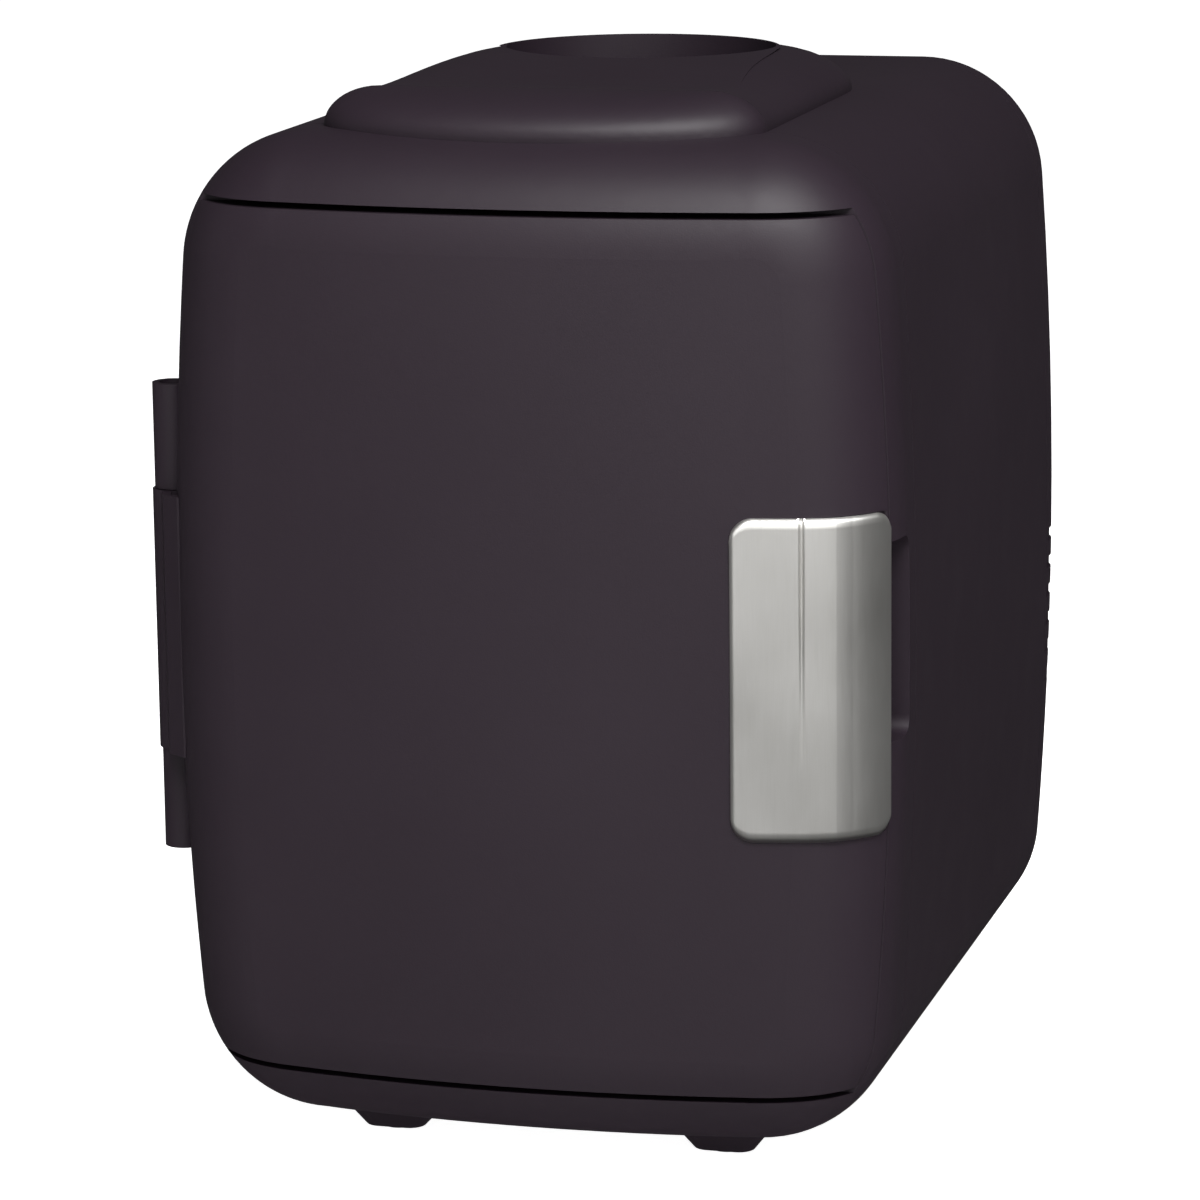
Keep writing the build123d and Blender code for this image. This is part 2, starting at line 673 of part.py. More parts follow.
with BuildPart() as back_cover:
    extrude(outline(0, rear_y), amount=rear_y - cover_start)
    fillet(faces().sort_by(Axis.Y)[-1].edges(), radius=8)
    extrude(outline(wall, rear_y - wall), amount=rear_y - wall - cover_start, mode=Mode.SUBTRACT)
    for x, z in boss_points:
        rod(x, z, (cover_start, rear_y - 1), 6.0)
    for x, z in board_points:
        rod(x, z, (cover_y, rear_y - 1), 3.0)
        rod(x, z, (cover_y - 1, cover_y + 8), 1.0, Mode.SUBTRACT)
    with BuildSketch(Plane.XZ.offset(-(rear_y - wall - 1))):
        for row in range(-7, 8):
            with Locations((0, unit_z + 5.2 * row)):
                SlotOverall(2 * sqrt(40**2 - (5.2 * row) ** 2), 2.8)
        with Locations((0, unit_z)):
            for x in (-13, 13):
                with Locations((x, 0)):
                    Rectangle(3.0, 84, mode=Mode.SUBTRACT)
            Circle(9, mode=Mode.SUBTRACT)
    extrude(amount=-(wall + 2), mode=Mode.SUBTRACT)
    # Scalloped vents over the two rear corners
    for side in (-1, 1):
        notch_x = sorted((side * (half - 1.2), side * (half + 2)))
        slit_x = sorted((side * (half - 22), side * (half - 10)))
        for row in range(ridge_count):
            level = ridge_low + ridge_pitch * row
            block(notch_x, (cover_start + 1.5, rear_y), (level - 1.6, level + 1.6), Mode.SUBTRACT)
            if abs(level - boss_points[0][1]) > 8:
                block(slit_x, (rear_y - wall - 1, rear_y + 1), (level - 1.4, level + 1.4), Mode.SUBTRACT)
    for x, z in boss_points:
        rod(x, z, (cover_start - 1, rear_y + 1), 1.7, Mode.SUBTRACT)
        rod(x, z, (screw_seat, rear_y + 1), 3.4, Mode.SUBTRACT)
    inlet = ((-socket_pitch - inlet_size[0] / 2, inlet_size[0] / 2 - socket_pitch),
             (rear_y - wall - 1, rear_y + 1),
             (socket_z - inlet_size[1] / 2, socket_z + inlet_size[1] / 2))
    block(*inlet, Mode.SUBTRACT)
    rod(socket_pitch, socket_z, (rear_y - wall - 1, rear_y + 1), socket_radius, Mode.SUBTRACT)
    switch_room = ((-bezel_size[0] / 2 + 1, bezel_size[0] / 2 - 1),
                   (rear_y - wall - 1, rear_y + 1),
                   (socket_z - bezel_size[1] / 2 + 1, socket_z + bezel_size[1] / 2 - 1))
    block(*switch_room, Mode.SUBTRACT)
finish(back_cover, "back_cover")

with BuildPart() as cover_screws:
    for x, z in boss_points:
        rod(x, z, (cover_y - 14, screw_seat), 1.5)
        rod(x, z, (screw_seat, screw_seat + 2.4), 3.0)
        rod(x, z, (screw_seat + 1.2, screw_seat + 2.4), 1.2, Mode.SUBTRACT)
finish(cover_screws, "cover_screws")

# Mains inlet, 12 V socket and the three-position switch in the back cover.
flange_thickness = 1.5
with BuildPart() as mains_inlet:
    reach_x, reach_z = inlet_size[0] / 2, inlet_size[1] / 2
    body_x = (-socket_pitch - reach_x + 0.1, -socket_pitch + reach_x - 0.1)
    body_z = (socket_z - reach_z + 0.1, socket_z + reach_z - 0.1)
    block(body_x, (rear_y - 24, rear_y), body_z)
    block((body_x[0] - 2.5, body_x[1] + 2.5), (rear_y, rear_y + flange_thickness),
          (body_z[0] - 2.5, body_z[1] + 2.5))
    with BuildSketch(Plane.XZ.offset(-(rear_y - 14))):
        with Locations((-socket_pitch, socket_z)):
            SlotOverall(16, 8.6)
    extrude(amount=-20, mode=Mode.SUBTRACT)
    for x in (-4.3, 4.3):
        rod(x - socket_pitch, socket_z, (rear_y - 15, rear_y - 4), 1.2)
        block((x - socket_pitch - 1.5, x - socket_pitch + 1.5), (rear_y - 30, rear_y - 23),
              (socket_z - 0.4, socket_z + 0.4))
finish(mains_inlet, "mains_inlet")

jack_bore = 6.5
jack_depth = 12.0
with BuildPart() as dc_socket:
    rod(socket_pitch, socket_z, (rear_y - 20, rear_y), socket_radius - 0.1)
    rod(socket_pitch, socket_z, (rear_y, rear_y + flange_thickness), socket_radius + 2.5)
    rod(socket_pitch, socket_z, (rear_y + flange_thickness - jack_depth, rear_y + 3), jack_bore,
        Mode.SUBTRACT)
    rod(socket_pitch, socket_z, (rear_y - 11, rear_y - 1.5), 1.3)
    for x in (-3, 3):
        block((socket_pitch + x - 1.2, socket_pitch + x + 1.2), (rear_y - 25, rear_y - 19),
              (socket_z - 0.4, socket_z + 0.4))
finish(dc_socket, "dc_socket")

rocker_y = rear_y - 4.0
with BuildPart() as switch_bezel:
    block((switch_room[0][0] + 0.1, switch_room[0][1] - 0.1), (rear_y - 18, rear_y),
          (switch_room[2][0] + 0.1, switch_room[2][1] - 0.1))
    block((-bezel_size[0] / 2, bezel_size[0] / 2), (rear_y, rear_y + flange_thickness),
          (socket_z - bezel_size[1] / 2, socket_z + bezel_size[1] / 2))
    block((-rocker_width / 2 - 0.3, rocker_width / 2 + 0.3), (rear_y - 16, rear_y + 3),
          (socket_z - rocker_height / 2 - 0.4, socket_z + rocker_height / 2 + 0.4), Mode.SUBTRACT)
    with BuildSketch(Plane.YZ.offset(-rocker_width / 2 - 1)):
        with Locations((rocker_y, socket_z)):
            Circle(1.5)
    extrude(amount=rocker_width + 2)
finish(switch_bezel, "switch_bezel")

# Rocker: a shallow V that tips about the bezel's cross pin.
with BuildPart() as power_rocker:
    with BuildSketch(Plane.YZ.offset(-rocker_width / 2)):
        with BuildLine():
            tip = rocker_height / 2 - 1.2
            Polyline(
                (rocker_y + 2.6, socket_z),
                (rocker_y + 4.8, socket_z + tip),
                (rocker_y - 1.0, socket_z + tip),
                (rocker_y - 6.0, socket_z + 4),
                (rocker_y - 6.0, socket_z - 4),
                (rocker_y - 1.0, socket_z - tip),
                (rocker_y + 4.8, socket_z - tip),
                close=True,
            )
        make_face()
        with Locations((rocker_y, socket_z)):
            Circle(1.5 + running_fit, mode=Mode.SUBTRACT)
    extrude(amount=rocker_width)
finish(power_rocker, "power_rocker")

# Boards: the control board behind the back cover, the supply on the casing's floor.
with BuildPart() as control_board:
    block((-52, 52), (cover_y - board_thickness, cover_y), board_z)
    for x, z in board_points:
        rod(x, z, (cover_y - 3, cover_y + 1), 1.1, Mode.SUBTRACT)
    middle = (board_z[0] + board_z[1]) / 2
    front = cover_y - board_thickness
    block((-34, -16), (front - 15, front), (middle - 8, middle + 8))
    block((10, 20), (front - 4, front), (middle - 6, middle + 4))
    for x in (-4, 3, 30):
        rod(x, middle, (front - 12, front), 3.0)
finish(control_board, "control_board")

with BuildPart() as board_screws:
    for x, z in board_points:
        rod(x, z, (front, cover_y + 7), 1.0)
        rod(x, z, (front - 1.6, front), 2.0)
        rod(x, z, (front - 1.6, front - 0.8), 0.8, Mode.SUBTRACT)
finish(board_screws, "board_screws")

supply_z = base_z + wall + 6
supply_y = (box_back + 24, box_back + 60)
with BuildPart() as power_supply:
    block((-56, 56), supply_y, (supply_z, supply_z + board_thickness))
    deck = supply_z + board_thickness
    for x in (-50, 50):
        for y in (box_back + 28, box_back + 56):
            post(x, y, (supply_z - 1, deck + 1), 1.1, Mode.SUBTRACT)
    centre = (supply_y[0] + supply_y[1]) / 2
    block((-14, 14), (centre - 12, centre + 12), (deck, deck + 22))
    block((-17, 17), (centre - 7, centre + 7), (deck, deck + 18))
    for x in (24, 36):
        post(x, centre, (deck, deck + 20), 5.0)
    post(-30, centre, (deck, deck + 10), 6.0)
    block((-44, -39), (centre - 8, centre + 8), (deck, deck + 9))
finish(power_supply, "power_supply")

with BuildPart() as supply_screws:
    for x in (-50, 50):
        for y in (box_back + 28, box_back + 56):
            post(x, y, (supply_z - 4, deck), 1.0)
            post(x, y, (deck, deck + 1.6), 2.0)
            post(x, y, (deck + 0.8, deck + 1.6), 0.8, Mode.SUBTRACT)
finish(supply_screws, "supply_screws")

# Feet pegged into the casing's floor, each with a soft pad let into its sole.
with BuildPart() as feet:
    for x, y in foot_points:
        with BuildSketch(Plane.XY.offset(1.0)) as sole:
            with Locations((x, y)):
                RectangleRounded(foot_bottom, foot_bottom - 1, 4)
        with BuildSketch(Plane.XY.offset(base_z)) as root:
            with Locations((x, y)):
                RectangleRounded(foot_top, foot_top - 4, 7)
        loft([sole.sketch, root.sketch], clean=False)
        post(x, y + peg_offset, (base_z, base_z + wall + 1), peg_radius)
        post(x, y, (1.0, 1.0 + pad_height), 5.0, Mode.SUBTRACT)
finish(feet, "feet")

with BuildPart() as foot_pads:
    for x, y in foot_points:
        post(x, y, (0, 1.0 + pad_height), 5.0)
    chamfer(edges().group_by(Axis.Z)[0], length=0.4)
finish(foot_pads, "foot_pads")

# Door: outer shell with the hinge strap, plate on its free edge, liner, foam, seal.
with BuildPart() as handle_plate:
    plate_start = half - plate_reach
    plate_end = half + plate_proud
    with BuildSketch(Plane.XZ.offset(-(door_y - 0.4))):
        with Locations(((plate_start + plate_end) / 2, plate_level)):
            RectangleRounded(plate_end - plate_start, plate_height, plate_corner)
    extrude(amount=door_depth + 10)
    add(hull(-plate_proud), mode=Mode.INTERSECT)
    add(hull(plate_sunk), mode=Mode.SUBTRACT)
finish(handle_plate, "handle_plate")

with BuildPart() as door_room:
    add(inner)
    block((-far, far), (-far, door_y), (door_low + wall, door_high - wall), Mode.INTERSECT)

strap_out = -half - 2.6
strap_in = -half - 0.6
strap_root = 4.2 - half
with BuildPart() as door_shell:
    add(outer)
    block((-far, far), (-far, door_y), (door_low, door_high), Mode.INTERSECT)
    add(door_room.part, mode=Mode.SUBTRACT)
    add(handle_plate.part, mode=Mode.SUBTRACT)
    with BuildSketch(Plane.XY.offset(door_knuckle_low)):
        with BuildLine():
            Polyline(
                (strap_out, hinge_y),
                (strap_out, door_y + 3.0),
                (strap_out + 1.4, door_y - 0.1),
                (3.6 - half, door_y - 3.4),
                (strap_root, door_y - 3.4),
                (strap_root, door_y - 0.1),
                (1.0 - half, door_y - 0.1),
                (strap_in, door_y + 5.0),
                (strap_in, hinge_y),
                close=True,
            )
        make_face()
    extrude(amount=door_knuckle_high - door_knuckle_low)
    post(hinge_x, hinge_y, (door_knuckle_low, door_knuckle_high), door_knuckle_radius)
    post(hinge_x, hinge_y, (door_knuckle_low - 1, door_knuckle_high + 1),
         pin_radius + running_fit, Mode.SUBTRACT)
finish(door_shell, "door_shell")

plug_half = box_half - plug_gap
plug_z = (box_bottom + plug_gap, box_top - plug_gap)
bin_y = plug_y + 5.7
bin_z = (box_bottom + bin_level - 32, box_bottom + bin_level - 32 + bin_height)
hook_z = bin_z[1] - 6
hook_span = 60.0
with BuildPart() as door_liner:
    add(inner)
    block((-far, far), (door_y - skin, door_y), (door_low + wall, door_high - wall), Mode.INTERSECT)
    slab(plug_half, plug_z, (door_y - skin, plug_y), 6)
    slab(plug_half - skin, (plug_z[0] + skin, plug_z[1] - skin), (door_y - skin, plug_y - skin), 5,
         Mode.SUBTRACT)
    for x in (-hook_span / 2, hook_span / 2):
        block((x - 11, x + 11), (plug_y - 0.1, plug_y + 5.4), (hook_z - 8, hook_z))
        block((x - 7.5, x + 7.5), (plug_y + 1.2, plug_y + 3.9), (hook_z - 9, hook_z + 1), Mode.SUBTRACT)
finish(door_liner, "door_liner")

with BuildPart() as door_foam:
    add(inner)
    block((-far, far), (-far, door_y - skin), (door_low + wall, door_high - wall), Mode.INTERSECT)
    slab(plug_half - skin, (plug_z[0] + skin, plug_z[1] - skin), (door_y - skin - 1, plug_y - skin), 5)
finish(door_foam, "door_foam")

seal_half = box_half + seal_offset
with BuildPart() as door_seal:
    for reach, mode in ((seal_width, Mode.ADD), (0.0, Mode.SUBTRACT)):
        edge = seal_offset + reach
        slab(box_half + edge, (box_bottom - edge, box_top + edge), (door_y, face_y - seal_gap),
             liner_corner + edge, mode)
    for side in (-1, 1):
        x = sorted((side * (seal_half + 1.5), side * (seal_half + 5)))
        block(x, (door_y, door_y + 1.6), (box_bottom + 10, box_top - 10), Mode.SUBTRACT)
finish(door_seal, "door_seal")

with BuildPart() as seal_magnets:
    for side in (-1, 1):
        x = sorted((side * (seal_half + 1.5), side * (seal_half + 5)))
        block(x, (door_y, door_y + 1.6), (box_bottom + 10, box_top - 10))
finish(seal_magnets, "seal_magnets")

# Door bin: an open tray hung on the door liner by two down-turned tabs.
with BuildPart() as door_bin:
    bin_half = bin_width / 2
    block((-bin_half, bin_half), (bin_y, bin_y + bin_depth), bin_z)
    fillet(edges().filter_by(Axis.Z), radius=5)
    fillet(edges().group_by(Axis.Z)[0], radius=3)
    with BuildSketch(Plane.XY.offset(bin_z[0] + bin_wall)):
        with Locations((0, bin_y + bin_depth / 2)):
            RectangleRounded(bin_width - 2 * bin_wall, bin_depth - 2 * bin_wall, 3.4)
    extrude(amount=bin_height, mode=Mode.SUBTRACT)
    for x in (-hook_span / 2, hook_span / 2):
        block((x - 7.2, x + 7.2), (plug_y + 1.5, plug_y + 3.6), (hook_z - 7, hook_z + 2.6))
        block((x - 7.2, x + 7.2), (plug_y + 1.5, bin_y + bin_wall), (hook_z + 0.3, hook_z + 2.6))
finish(door_bin, "door_bin")
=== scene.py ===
"""A small thermoelectric fridge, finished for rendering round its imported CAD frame."""

from math import atan2, cos, pi, radians, sin, sqrt

import bmesh
import bpy
from mathutils import Matrix, Vector


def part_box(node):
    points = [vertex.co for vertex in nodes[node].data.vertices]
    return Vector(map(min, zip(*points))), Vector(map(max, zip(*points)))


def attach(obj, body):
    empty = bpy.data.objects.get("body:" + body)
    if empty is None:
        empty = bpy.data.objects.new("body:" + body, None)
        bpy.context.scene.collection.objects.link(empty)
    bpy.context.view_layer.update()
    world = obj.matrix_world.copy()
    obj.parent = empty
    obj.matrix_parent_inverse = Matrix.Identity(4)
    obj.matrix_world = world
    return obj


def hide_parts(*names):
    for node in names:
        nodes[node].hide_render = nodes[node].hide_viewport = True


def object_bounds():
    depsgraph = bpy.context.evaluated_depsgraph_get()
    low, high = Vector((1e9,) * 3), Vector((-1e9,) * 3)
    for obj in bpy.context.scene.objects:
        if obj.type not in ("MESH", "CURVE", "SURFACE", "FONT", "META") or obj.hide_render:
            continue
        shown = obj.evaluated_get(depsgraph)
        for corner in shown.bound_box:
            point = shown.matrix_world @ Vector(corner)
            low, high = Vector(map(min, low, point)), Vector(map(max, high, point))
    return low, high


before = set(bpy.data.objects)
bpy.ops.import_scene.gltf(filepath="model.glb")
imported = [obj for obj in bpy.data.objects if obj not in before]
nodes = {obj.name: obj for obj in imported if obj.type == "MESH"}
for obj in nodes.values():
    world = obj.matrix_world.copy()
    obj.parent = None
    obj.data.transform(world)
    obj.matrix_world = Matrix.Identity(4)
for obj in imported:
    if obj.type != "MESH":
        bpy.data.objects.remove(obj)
cad_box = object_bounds()

# ---------------------------------------------------------------------------
# Camera and room. A long lens stands a little to the right and slightly above,
# over a white seamless floor lit by large soft panels.
# ---------------------------------------------------------------------------

AZIMUTH, ELEVATION, ROLL = radians(15.34), radians(11.81), radians(-0.65)
TARGET = Vector((0.0207, -0.1033, 0.1451))
DISTANCE = 1.192
LENS_OVER_SENSOR = 4.1762

back = Vector((sin(AZIMUTH) * cos(ELEVATION), -cos(AZIMUTH) * cos(ELEVATION), sin(ELEVATION)))
level_right = Vector((cos(AZIMUTH), sin(AZIMUTH), 0))
level_up = back.cross(level_right)
right = cos(ROLL) * level_right + sin(ROLL) * level_up
up = cos(ROLL) * level_up - sin(ROLL) * level_right
placing = Matrix((right, up, back)).transposed().to_4x4()
placing.translation = TARGET + DISTANCE * back

lens = bpy.data.cameras.new("camera")
lens.sensor_width = 36.0
lens.lens = 36.0 * LENS_OVER_SENSOR
lens.clip_start, lens.clip_end = 0.05, 20.0
camera = bpy.data.objects.new("camera", lens)
camera.matrix_world = placing
bpy.context.scene.collection.objects.link(camera)
bpy.context.scene.camera = camera
bpy.context.scene.view_settings.view_transform = "Standard"


def soft_panel(name, place, aim, size, power):
    """A rectangular area light at a place, facing a point."""
    light = bpy.data.lights.new(name, "AREA")
    light.shape = "RECTANGLE"
    light.size, light.size_y = size
    light.energy = power
    panel = bpy.data.objects.new(name, light)
    panel.location = place
    panel.rotation_euler = (Vector(aim) - Vector(place)).to_track_quat("-Z", "Y").to_euler()
    bpy.context.scene.collection.objects.link(panel)


soft_panel("front_panel", (0.5, -1.6, 0.46), (0, 0, 0.14), (3.2, 0.85), 12.0)
soft_panel("top_panel", (0.5, -0.9, 1.35), (0, -0.05, 0.2), (1.2, 0.8), 56.0)
soft_panel("left_panel", (-1.5, -0.5, 0.6), (0, 0, 0.12), (0.6, 1.2), 1.0)


class Wire:
    """A shader socket that can be written into expressions."""

    def __init__(self, tree, socket=None):
        self.tree = tree
        self.socket = socket

    def node(self, kind, settings=None, sockets=None, out=0):
        """Any other node, from its type, its settings, and what goes into its sockets."""
        made = self.tree.nodes.new(kind)
        for name, value in (settings or {}).items():
            if name == "stops":
                ramp = made.color_ramp.elements
                for element, (position, grey) in zip(ramp, value):
                    element.position = position
                    element.color = (grey, grey, grey, 1)
            else:
                setattr(made, name, value)
        for name, value in (sockets or {}).items():
            if isinstance(value, Wire):
                self.tree.links.new(value.socket, made.inputs[name])
            else:
                made.inputs[name].default_value = value
        return Wire(self.tree, made.outputs[out])

    def math(self, operation, first, second):
        return self.node("ShaderNodeMath", {"operation": operation}, {0: first, 1: second})

    def __add__(self, other):
        return self.math("ADD", self, other)

    def __sub__(self, other):
        return self.math("SUBTRACT", self, other)

    def __rsub__(self, other):
        return self.math("SUBTRACT", other, self)

    def __mul__(self, other):
        return self.math("MULTIPLY", self, other)

    __radd__ = __add__
    __rmul__ = __mul__

    def mix(self, low, high):
        """Colour between two, with this value as the factor."""
        sockets = {0: self, 6: low, 7: high}
        return self.node("ShaderNodeMix", {"data_type": "RGBA"}, sockets, 2)

    def stretch(self, x, y, z):
        """This vector scaled along each axis."""
        return self.node("ShaderNodeVectorMath", {"operation": "MULTIPLY"}, {0: self, 1: (x, y, z)})

    def noise(self, scale, detail=3.0):
        """Smooth noise from 0 to 1 over this vector."""
        return self.node("ShaderNodeTexNoise", {}, {"Vector": self, "Scale": scale, "Detail": detail})

    def ramp(self, low, high):
        """This value stretched so that low turns to 0 and high to 1."""
        return self.node("ShaderNodeValToRGB", {"stops": ((low, 0), (high, 1))}, {0: self})


def new_material(name):
    """An empty node material: the material, its shader node and its coordinates as a Wire."""
    made = bpy.data.materials.new(name)
    made.use_nodes = True
    tree = made.node_tree
    shader = tree.nodes["Principled BSDF"]
    place = Wire(tree).node("ShaderNodeTexCoord", out=3)
    return made, shader, place


def feed(shader, **wires):
    """Joins Wires to the shader's sockets, named with _ for a blank."""
    for name, wire in wires.items():
        wire.tree.links.new(wire.socket, shader.inputs[name.replace("_", " ")])


def dress(material, *names):
    """Gives CAD nodes a material."""
    for name in names:
        nodes[name].material_slots[0].material = material


# White room: bright to the camera, dimmer as a light on the fridge.
world = bpy.data.worlds.new("studio")
world.use_nodes = True
glow = world.node_tree.nodes["Background"]
seen = Wire(world.node_tree).node("ShaderNodeLightPath")
ROOM_LIGHT = 0.045
SEEN_EXTRA = 0.955
world.node_tree.links.new((seen * SEEN_EXTRA + ROOM_LIGHT).socket, glow.inputs["Strength"])
glow.inputs["Color"].default_value = (1, 1, 1, 1)
bpy.context.scene.world = world

# Floor: white where it is lit, with the fridge's soft shadow under it.
FLOOR_REACH = 8
floor_mesh = bpy.data.meshes.new("studio_floor")
sheet = bmesh.new()
bmesh.ops.create_grid(sheet, x_segments=1, y_segments=1, size=FLOOR_REACH)
sheet.to_mesh(floor_mesh)
sheet.free()
floor = bpy.data.objects.new("studio_floor", floor_mesh)
bpy.context.scene.collection.objects.link(floor)
floor_paint, floor_shader, _ = new_material("floor_white")
floor_shader.inputs["Base Color"].default_value = (0.9, 0.9, 0.9, 1)
floor_shader.inputs["Roughness"].default_value = 0.9
floor_shader.inputs["Emission Color"].default_value = (1, 1, 1, 1)
floor_shader.inputs["Emission Strength"].default_value = 0.95
floor_mesh.materials.append(floor_paint)
floor.visible_glossy = False

# ---------------------------------------------------------------------------
# Casing and door. Injection-moulded ABS in a plum black, spark-eroded to a fine
# matt grain in the mould; handling has polished it a little in patches.
# ---------------------------------------------------------------------------

DARK_PLUM = (0.0095, 0.0058, 0.0092, 1)
PALE_PLUM = (0.0150, 0.0100, 0.0146, 1)

plum, plum_shader, place = new_material("plum_plastic")
broad = place.noise(14.0)
patch = place.noise(55.0, 5.0).ramp(0.45, 0.75)
grain = place.noise(2600.0, 2.0)
orange_peel = place.noise(420.0, 1.0)
feed(
    plum_shader,
    Base_Color=(broad * 0.7 + grain * 0.5 - 0.1).mix(DARK_PLUM, PALE_PLUM),
    Roughness=0.46 + broad * 0.04 + grain * 0.05 - patch * 0.03,
    Normal=place.node(
        "ShaderNodeBump",
        {},
        {"Height": grain + orange_peel * 0.4, "Distance": 0.00004, "Strength": 0.55},
    ),
)
plum_shader.inputs["Specular IOR Level"].default_value = 0.22
dress(plum, "front_frame", "rear_shell", "back_cover", "feet", "door_shell")

# ---------------------------------------------------------------------------
# Handle plate. A pressed and plated strip wrapped over the door's free edge and
# stuck down; two creases divide it into a broad face and a finger edge.
# ---------------------------------------------------------------------------

HALF_WIDTH = 0.0913
FRONT_BOW = 0.0121
EDGE_ROUND = 0.027
PLATE_PROUD = 0.0008
PLATE_SHEET = 0.0012
PLATE_CORNER = 0.0055
GROOVE_TURN, GROOVE_HALF, GROOVE_DEEP = radians(15.0), radians(1.5), 0.0006
RIDGE_TURN, RIDGE_HALF, RIDGE_HIGH = radians(32.0), radians(9.0), 0.00022
RIM_WIDE, RIM_DROP = 0.0012, 0.0006
END_MARGIN = 0.0004
COLUMNS, ROWS = 220, 60

plate_low, plate_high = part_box("handle_plate")
bow_radius = (HALF_WIDTH**2 + FRONT_BOW**2) / (2 * FRONT_BOW)
front = cad_box[0][1]
round_x = HALF_WIDTH - EDGE_ROUND
round_reach = bow_radius - EDGE_ROUND
round_y = front + bow_radius - sqrt(round_reach**2 - round_x**2)
meet = atan2(round_x, sqrt(round_reach**2 - round_x**2))
flat_start = plate_low.x
plate_tall = plate_high.z - plate_low.z
plate_mid = (plate_high.z + plate_low.z) / 2


def plate_path(steps):
    """Points and outward directions across the plate, from its inner edge round the door's edge."""
    arc_start = bow_radius * meet
    strip_start = bow_radius * atan2(flat_start, bow_radius)
    end_turn = atan2(plate_high.y - END_MARGIN - round_y, EDGE_ROUND) + pi / 2
    total = arc_start - strip_start + EDGE_ROUND * (end_turn - meet)
    path = []
    for step in range(steps + 1):
        run = total * step / steps
        if run < arc_start - strip_start:
            turn = (strip_start + run) / bow_radius
            centre = Vector((0, front + bow_radius, 0))
            radius = bow_radius
        else:
            turn = meet + (run - arc_start + strip_start) / EDGE_ROUND
            centre = Vector((round_x, round_y, 0))
            radius = EDGE_ROUND
        out = Vector((sin(turn), -cos(turn), 0))
        path.append((centre + out * radius, out, run, total, turn))
    return path


def plate_height(turn, rise):
    """How far the plate stands off the door: a groove on the first crease, a ridge on the second."""
    groove = max(0.0, 1 - abs(turn - GROOVE_TURN) / GROOVE_HALF) * GROOVE_DEEP
    ridge = max(0.0, 1 - abs(turn - RIDGE_TURN) / RIDGE_HALF) * RIDGE_HIGH
    return PLATE_PROUD - groove * max(0.0, min(1.0, 0.55 + rise)) + ridge


plate_mesh = bpy.data.meshes.new("handle_plate_sheet")
sheet = bmesh.new()
rows_of = []
for spot, out, run, total, turn in plate_path(COLUMNS):
    near = min(run, total - run)
    cut = PLATE_CORNER - sqrt(max(0.0, PLATE_CORNER**2 - max(0.0, PLATE_CORNER - near) ** 2))
    reach = plate_tall / 2 - cut
    column = []
    for row in range(ROWS + 1):
        rise = 2 * row / ROWS - 1
        level = Vector((0, 0, plate_mid + reach * rise))
        edge = min(near, reach * (1 - abs(rise)))
        soft = RIM_DROP * (1 - min(1.0, edge / RIM_WIDE)) ** 2
        column.append(sheet.verts.new(spot + level + out * (plate_height(turn, rise) - soft)))
    rows_of.append(column)
for left_column, right_column in zip(rows_of, rows_of[1:]):
    for row in range(ROWS):
        low_edge = (left_column[row], right_column[row])
        sheet.faces.new((*low_edge, right_column[row + 1], left_column[row + 1]))
bmesh.ops.remove_doubles(sheet, verts=sheet.verts, dist=1e-6)
for face in sheet.faces:
    face.smooth = True
sheet.to_mesh(plate_mesh)
sheet.free()
plate = bpy.data.objects.new("handle_plate_sheet", plate_mesh)
bpy.context.scene.collection.objects.link(plate)
thick = plate.modifiers.new("sheet", "SOLIDIFY")
thick.thickness = PLATE_SHEET
thick.offset = -1

DULL_CHROME = (0.80, 0.785, 0.745, 1)
CLEAN_CHROME = (0.93, 0.92, 0.895, 1)

chrome, chrome_shader, place = new_material("satin_chrome")
smear = place.noise(38.0, 4.0)
hairline = place.stretch(1.0, 1.0, 0.04).noise(3200.0, 2.0)
feed(
    chrome_shader,
    Base_Color=(smear * 0.6 + hairline * 0.4).mix(DULL_CHROME, CLEAN_CHROME),
    Roughness=0.34 + smear * 0.08 + hairline * 0.05,
    Normal=place.node(
        "ShaderNodeBump",
        {},
        {"Height": hairline, "Distance": 0.00001, "Strength": 0.3},
    ),
)
chrome_shader.inputs["Metallic"].default_value = 1.0
plate_mesh.materials.append(chrome)
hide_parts("handle_plate")
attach(plate, "door")

# ---------------------------------------------------------------------------
# Linings. The cold box, the door's inside and the fan cover are pale grey
# polystyrene, smooth and a little glossy, scuffed where cans slide.
# ---------------------------------------------------------------------------

lining, lining_shader, place = new_material("pale_lining")
broad = place.noise(9.0)
scuff = place.stretch(1.0, 5.0, 1.0).noise(90.0, 6.0).ramp(0.55, 0.72)
texture = place.noise(1500.0, 2.0)
feed(
    lining_shader,
    Base_Color=(broad * 0.6 + scuff * 0.4).mix((0.70, 0.71, 0.73, 1), (0.61, 0.62, 0.64, 1)),
    Roughness=0.30 + broad * 0.08 + scuff * 0.18,
    Normal=place.node(
        "ShaderNodeBump",
        {},
        {"Height": texture, "Distance": 0.00003, "Strength": 0.35},
    ),
)
dress(lining, "inner_liner", "door_liner", "fan_cover")

# ---------------------------------------------------------------------------
# Shelf and door bin. Clear styrene with a faint smoky tint, moulded glossy,
# with fine rub marks from use.
# ---------------------------------------------------------------------------

